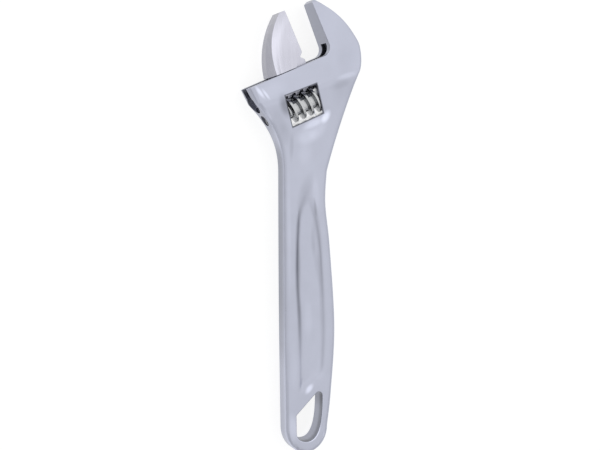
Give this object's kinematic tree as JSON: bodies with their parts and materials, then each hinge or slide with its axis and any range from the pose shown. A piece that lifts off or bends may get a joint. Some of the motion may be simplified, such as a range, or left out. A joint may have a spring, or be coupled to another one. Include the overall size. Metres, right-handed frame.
{
  "type": "adjustable wrench",
  "caption": "Adjustable wrench with a forged handle and fixed jaw, and a sliding jaw on a toothed round bar that a thumb-turned worm moves.",
  "frame": {"origin": "the middle of the wrench's plan, on the surface that it lies on", "axes": "+Y along the handle towards the jaws, +X towards the fixed jaw's side, +Z through the thickness"},
  "size_m": [0.0682, 0.255, 0.016],
  "materials": {
    "satin_chrome": "satin chrome plate over forged steel",
    "jaw_chrome": "satin chrome plate with ground faces",
    "worm_chrome": "bright chrome plate",
    "steel": "plain steel"
  },
  "bodies": {
    "wrench": {"wrench_body": "satin_chrome", "worm_pin": "steel", "worm_spring": "steel"},
    "jaw": {"sliding_jaw": "jaw_chrome"},
    "worm": {"adjusting_worm": "worm_chrome"}
  },
  "joints": [
    {"name": "jaw_slide", "type": "slide", "parent": "wrench", "child": "jaw", "axis": [0.9239, 0.3827, 0], "range_m": [-0.013, 0.0167]},
    {"name": "worm_spin", "type": "hinge", "parent": "wrench", "child": "worm", "pos_m": [-0.00106, 0.06923, 0.008], "axis": [0.9239, 0.3827, 0], "range_deg": [-1204, 937]}
  ],
  "couplings": [
    {"joint": "worm_spin", "follows": "jaw_slide", "rad_per_m": -1256.6}
  ]
}
